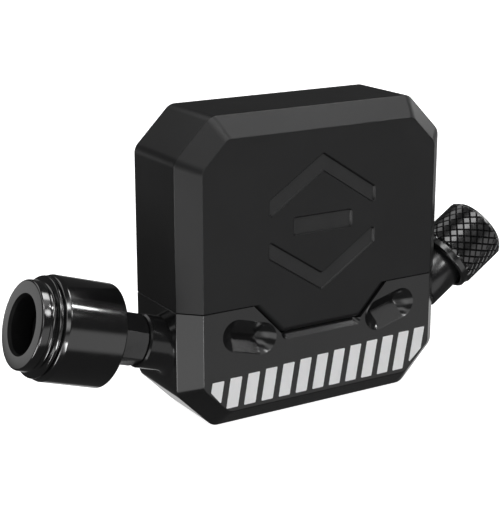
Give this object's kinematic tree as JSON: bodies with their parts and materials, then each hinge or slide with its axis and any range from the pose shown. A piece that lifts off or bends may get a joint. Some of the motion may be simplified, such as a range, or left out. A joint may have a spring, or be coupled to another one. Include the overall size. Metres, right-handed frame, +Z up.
{
  "type": "shock suspension pressure unit",
  "caption": "Small electronic pressure unit for an air shock: a flat box with a swivelling valve coupling on one side and a capped filler valve on the other.",
  "frame": {"origin": "centre of the housing's flat bottom face, midway between its sides and midway between its front and back faces", "axes": "+Z up, +Y from the engraved front face towards the battery hatch, +X from the coupling side towards the filler valve side"},
  "size_m": [0.0734, 0.013, 0.04],
  "materials": {
    "black_anodised": "satin black anodised",
    "gloss_anodised": "bright black anodised",
    "grey_anodised": "satin grey anodised",
    "black_plastic": "fine matt texture",
    "inner_plastic": "plain moulded",
    "black_rubber": "matt",
    "steel": "plain stainless",
    "cell_steel": "bright nickel plated",
    "brass": "turned",
    "board_green": "solder mask",
    "chip_black": "moulded package",
    "amber_flex": "polyimide film"
  },
  "bodies": {
    "housing": {"lower_body": "black_anodised", "housing_cover": "black_plastic", "cover_gasket": "black_rubber", "cover_screw_left": "steel", "cover_screw_right": "steel", "board_screw_left": "steel", "board_screw_right": "steel", "circuit_board": "board_green", "radio_module": "steel", "microcontroller": "chip_black", "motion_sensor": "chip_black", "battery_cradle": "inner_plastic", "contact_negative": "steel", "contact_positive": "steel", "coin_cell": "cell_steel", "pressure_sensor": "steel", "sensor_oring": "black_rubber", "sensor_clamp": "steel", "clamp_screw_left": "steel", "clamp_screw_right": "steel", "sensor_flex": "amber_flex", "coupling_stem": "black_anodised", "coupling_oring": "black_rubber", "coupling_washer": "brass", "coupling_clip": "steel", "coupling_seal": "black_rubber", "depressor_pin": "brass", "valve_stem": "grey_anodised", "valve_stem_oring": "black_rubber", "valve_core_body": "brass", "valve_core_spring": "steel"},
    "collar": {"coupling_collar": "gloss_anodised"},
    "valve_cap_seal": {"valve_cap_gasket": "black_rubber"},
    "valve_cap": {"valve_cap": "gloss_anodised"},
    "hatch_seal": {"battery_cap_oring": "black_rubber"},
    "hatch": {"battery_cap": "black_plastic"},
    "core_pin": {"valve_core_pin": "brass", "valve_core_seal": "black_rubber"}
  },
  "joints": [
    {"name": "collar_swivel", "type": "hinge", "parent": "housing", "child": "collar", "pos_m": [-0.02, 0, 0.0109], "axis": [-0.9542, 0, 0.299], "continuous": true},
    {"name": "valve_cap_travel", "type": "slide", "parent": "housing", "child": "valve_cap_seal", "axis": [0.8339, 0, 0.5519], "range_m": [0, 0.00476]},
    {"name": "valve_cap_turn", "type": "hinge", "parent": "valve_cap_seal", "child": "valve_cap", "pos_m": [0.02, 0, 0.0118], "axis": [0.8339, 0, 0.5519], "range_deg": [0, 2160]},
    {"name": "hatch_travel", "type": "slide", "parent": "housing", "child": "hatch_seal", "axis": [0, 1, 0], "range_m": [0, 0.0015]},
    {"name": "hatch_turn", "type": "hinge", "parent": "hatch_seal", "child": "hatch", "pos_m": [0, 0, 0.0281], "axis": [0, 1, 0], "range_deg": [0, 540.1]},
    {"name": "valve_core_press", "type": "slide", "parent": "housing", "child": "core_pin", "axis": [-0.8339, 0, -0.5519], "range_m": [0, 0.001], "stiffness_N_per_m": 800, "springref_m": -0.001}
  ],
  "couplings": [
    {"joint": "valve_cap_turn", "follows": "valve_cap_travel", "rad_per_m": 7913.3},
    {"joint": "hatch_turn", "follows": "hatch_travel", "rad_per_m": 6283.2}
  ]
}
